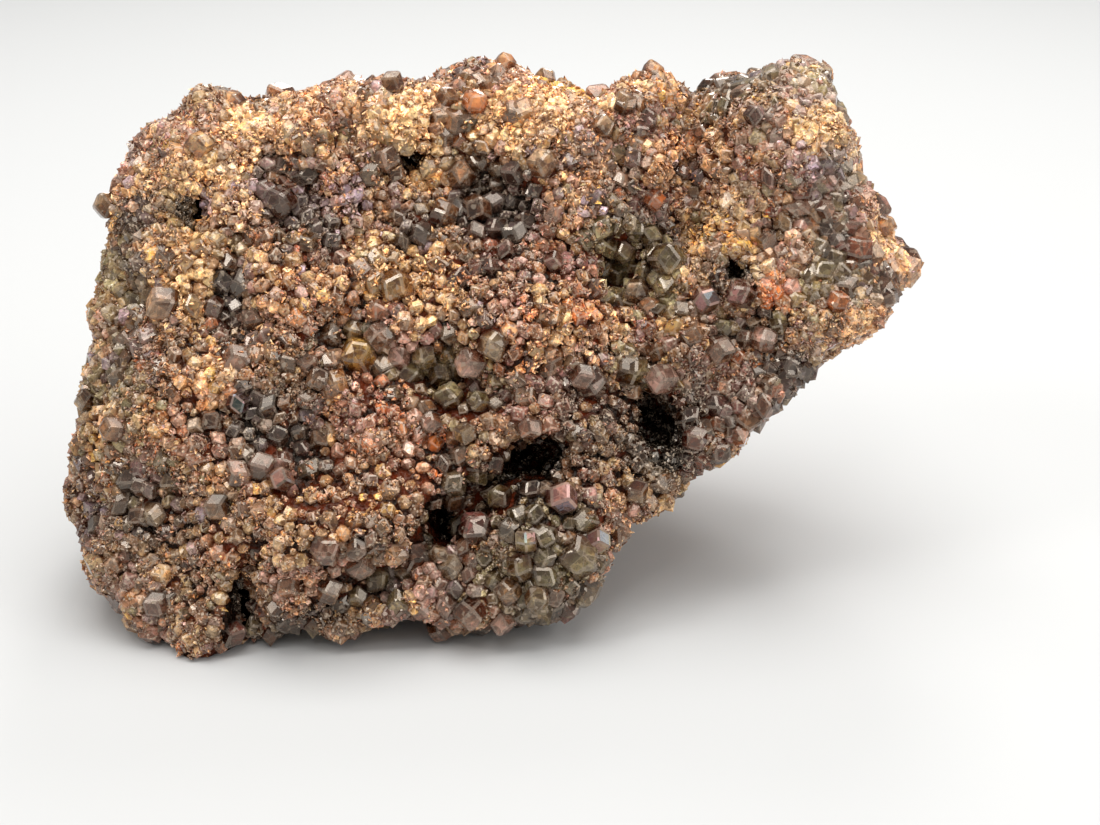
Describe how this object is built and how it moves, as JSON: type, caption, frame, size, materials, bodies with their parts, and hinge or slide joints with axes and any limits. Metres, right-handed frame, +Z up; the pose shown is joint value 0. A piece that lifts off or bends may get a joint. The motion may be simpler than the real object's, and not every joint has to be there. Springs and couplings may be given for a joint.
{
  "type": "garnet crystal cluster",
  "caption": "Hand-sized lump of garnet rock, crusted all over with small twelve-sided crystals, with a shelf, hollows and deep pits; a mineral specimen to stand on a shelf or desk.",
  "frame": {"origin": "on the ground, under the middle of the stone's box", "axes": "+X along the stone's length towards its overhanging wing, +Z up, front face with the shelf towards -Y"},
  "size_m": [0.0796, 0.0458, 0.0481],
  "materials": {
    "garnet": "glassy crystal faces over a matt, sugary crust, brown to orange"
  },
  "bodies": {
    "root": {"garnet_cluster": "garnet"}
  },
  "joints": []
}
